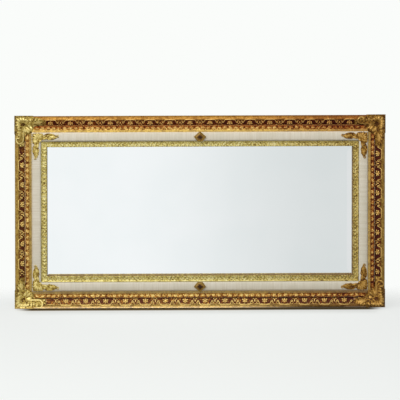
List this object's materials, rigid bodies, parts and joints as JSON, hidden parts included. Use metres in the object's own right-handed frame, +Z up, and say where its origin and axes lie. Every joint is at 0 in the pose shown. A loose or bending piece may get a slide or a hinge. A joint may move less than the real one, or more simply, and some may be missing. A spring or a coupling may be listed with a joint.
{
  "type": "wall mirror",
  "caption": "Large rectangular wall mirror: bevelled plate in a gilt carved frame with a cream frieze, corner ornaments and swinging strap hangers on the back.",
  "frame": {"origin": "middle of the lower edge of the frame, halfway through the rails' depth", "axes": "+X to the right along the long side as seen from the front, -Y out of the front, +Y to the wall, +Z up"},
  "size_m": [1.281, 0.0602, 0.675],
  "materials": {
    "gilt_wood": "warm gold leaf over red bole on pine, rubbed at the edges",
    "gilt_composition": "pressed ornament, gold leaf over red bole, dark in the hollows",
    "lemon_gilt": "cast ornament in pale lemon gold with an antique wash",
    "bronze_gilt": "cast ornament in dark bronze gold",
    "cream_paint": "dragged cream paint on a wooden board, satin",
    "silvered_glass": "bevelled silvered plate",
    "cork": "pressed cork",
    "hardboard": "pressed brown fibre board",
    "zinc_steel": "zinc plated steel",
    "black_rubber": "moulded rubber"
  },
  "bodies": {
    "frame": {"top_rail": "gilt_wood", "top_flower_run": "gilt_composition", "top_leaf_run": "gilt_composition", "top_panel": "cream_paint", "top_sight_edge": "lemon_gilt", "right_rail": "gilt_wood", "right_flower_run": "gilt_composition", "right_leaf_run": "gilt_composition", "right_panel": "cream_paint", "right_sight_edge": "lemon_gilt", "bottom_rail": "gilt_wood", "bottom_flower_run": "gilt_composition", "bottom_leaf_run": "gilt_composition", "bottom_panel": "cream_paint", "bottom_sight_edge": "lemon_gilt", "left_rail": "gilt_wood", "left_flower_run": "gilt_composition", "left_leaf_run": "gilt_composition", "left_panel": "cream_paint", "left_sight_edge": "lemon_gilt", "top_left_corner_ornament": "lemon_gilt", "top_left_corner_spray": "lemon_gilt", "top_right_corner_ornament": "lemon_gilt", "top_right_corner_spray": "lemon_gilt", "bottom_right_corner_ornament": "lemon_gilt", "bottom_right_corner_spray": "lemon_gilt", "bottom_left_corner_ornament": "lemon_gilt", "bottom_left_corner_spray": "lemon_gilt", "top_centre_ornament": "bronze_gilt", "bottom_centre_ornament": "bronze_gilt", "mirror_glass": "silvered_glass", "setting_blocks": "cork", "backing_board": "hardboard", "glazing_points": "zinc_steel", "corner_plates": "zinc_steel", "liner_plates": "zinc_steel", "plate_screws": "zinc_steel", "left_hanger_strap": "zinc_steel", "right_hanger_strap": "zinc_steel", "hanger_screws": "zinc_steel", "wall_bumpers": "black_rubber"},
    "left_ring": {"left_hanger_ring": "zinc_steel"},
    "right_ring": {"right_hanger_ring": "zinc_steel"}
  },
  "joints": [
    {"name": "left_ring_swing", "type": "hinge", "parent": "frame", "child": "left_ring", "pos_m": [-0.6105, 0.02753, 0.542], "axis": [-1, 0, 0], "range_deg": [0, 175]},
    {"name": "right_ring_swing", "type": "hinge", "parent": "frame", "child": "right_ring", "pos_m": [0.6105, 0.02753, 0.542], "axis": [-1, 0, 0], "range_deg": [0, 175]}
  ]
}
